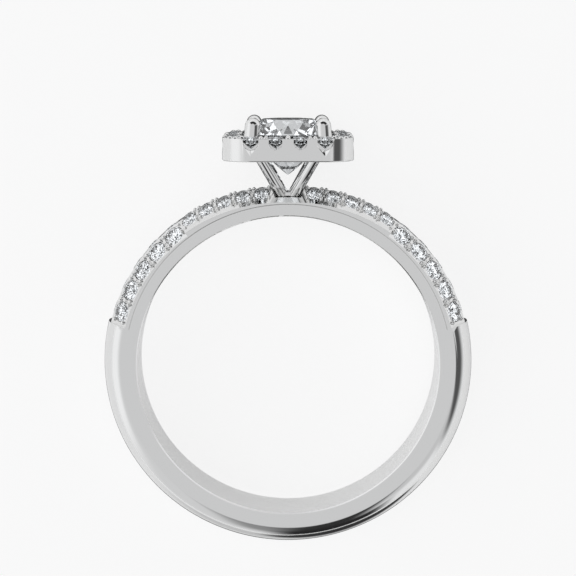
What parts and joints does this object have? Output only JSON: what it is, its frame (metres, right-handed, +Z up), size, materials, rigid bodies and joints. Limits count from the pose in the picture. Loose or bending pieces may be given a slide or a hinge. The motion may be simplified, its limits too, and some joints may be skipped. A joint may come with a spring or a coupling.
{
  "type": "halo ring",
  "caption": "Finger ring with a claw-set round stone in a cushion-shaped halo of small stones and stone-set shoulders.",
  "frame": {"origin": "under the middle of the bounding box, on the surface that the ring lies on", "axes": "+Z up from the surface, +Y from the band towards the head, +X across the band. The finger's axis leans a few degrees from Z because the halo is wider than the band."},
  "size_m": [0.0212, 0.025, 0.0074],
  "materials": {
    "white_metal": "polished white gold",
    "clear_stone": "polished facets, clear"
  },
  "bodies": {
    "root": {"shank": "white_metal", "head": "white_metal", "center_stone": "clear_stone", "halo_stone_01": "clear_stone", "halo_stone_02": "clear_stone", "halo_stone_03": "clear_stone", "halo_stone_04": "clear_stone", "halo_stone_05": "clear_stone", "halo_stone_06": "clear_stone", "halo_stone_07": "clear_stone", "halo_stone_08": "clear_stone", "halo_stone_09": "clear_stone", "halo_stone_10": "clear_stone", "halo_stone_11": "clear_stone", "halo_stone_12": "clear_stone", "halo_stone_13": "clear_stone", "halo_stone_14": "clear_stone", "halo_stone_15": "clear_stone", "halo_stone_16": "clear_stone", "shoulder_stones_left": "clear_stone", "shoulder_stones_right": "clear_stone"}
  },
  "joints": []
}
